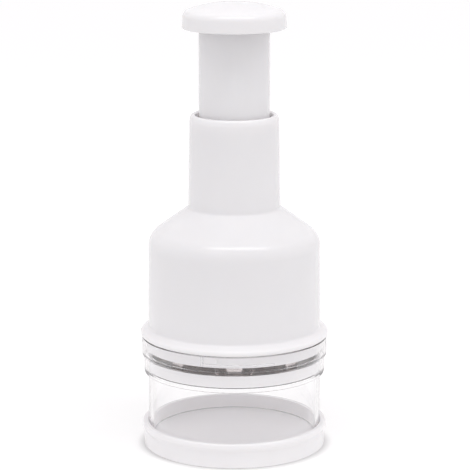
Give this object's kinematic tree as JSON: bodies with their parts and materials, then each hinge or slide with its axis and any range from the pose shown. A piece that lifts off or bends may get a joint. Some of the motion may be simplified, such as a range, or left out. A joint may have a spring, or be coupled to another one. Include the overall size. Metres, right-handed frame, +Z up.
{
  "type": "garlic chopper",
  "caption": "Hand press garlic chopper: a sprung plunger with a domed knob drives folded steel blades through a turning scraper plate into a clear cup with a pull-off base.",
  "frame": {"origin": "centre of the base cap's underside, on the surface that the chopper stands on", "axes": "+Z up along the common axis of cup, housing and plunger; the picture's front faces -Y; +X is to the right as seen from the front"},
  "size_m": [0.09, 0.09, 0.2141],
  "materials": {
    "white_plastic": "satin gloss moulded white plastic",
    "milky_plastic": "matt moulded milky plastic",
    "clear_plastic": "clear moulded plastic with smooth walls",
    "steel": "stainless steel"
  },
  "bodies": {
    "base": {"base_cap": "white_plastic"},
    "cup": {"cup": "clear_plastic"},
    "housing": {"housing_shell": "white_plastic", "neck_bush": "milky_plastic", "carrier": "milky_plastic", "carrier_screw_1": "steel", "carrier_screw_2": "steel", "carrier_screw_3": "steel", "ratchet_ring": "milky_plastic", "ratchet_cover": "milky_plastic", "cover_screw_1": "steel", "cover_screw_2": "steel", "cover_screw_3": "steel", "return_spring": "steel"},
    "ratchet": {"pawl_wheel": "milky_plastic"},
    "plunger": {"plunger_tube": "white_plastic", "knob_cap": "white_plastic", "thrust_washer": "steel", "shaft_clip": "steel"},
    "blade": {"drive_shaft": "steel", "blade_holder": "milky_plastic", "holder_screw": "steel", "blade_front": "steel", "blade_back": "steel"},
    "scraper": {"scraper_plate": "white_plastic"}
  },
  "joints": [
    {"name": "cup_lift", "type": "slide", "parent": "base", "child": "cup", "axis": [0, 0, 1], "range_m": [0, 0.02]},
    {"name": "bayonet", "type": "hinge", "parent": "cup", "child": "housing", "pos_m": [0, 0, 0.05205], "axis": [0, 0, 1], "range_deg": [0, 45.4]},
    {"name": "ratchet_index", "type": "hinge", "parent": "housing", "child": "ratchet", "pos_m": [0, 0, 0.1035], "axis": [0, 0, 1], "continuous": true},
    {"name": "press", "type": "slide", "parent": "ratchet", "child": "plunger", "axis": [0, 0, -1], "range_m": [0, 0.0329], "stiffness_N_per_m": 250, "springref_m": -0.03, "deforming": ["return_spring"]},
    {"name": "blade_turn", "type": "hinge", "parent": "plunger", "child": "blade", "pos_m": [0, 0, 0.0763], "axis": [0, 0, 1], "range_deg": [0, 30.1]},
    {"name": "scraper_turn", "type": "hinge", "parent": "ratchet", "child": "scraper", "pos_m": [0, 0, 0.0389], "axis": [0, 0, 1], "range_deg": [0, 30.1]}
  ],
  "couplings": [
    {"joint": "blade_turn", "follows": "press", "rad_per_m": 15.915},
    {"joint": "scraper_turn", "follows": "press", "rad_per_m": 15.915}
  ]
}
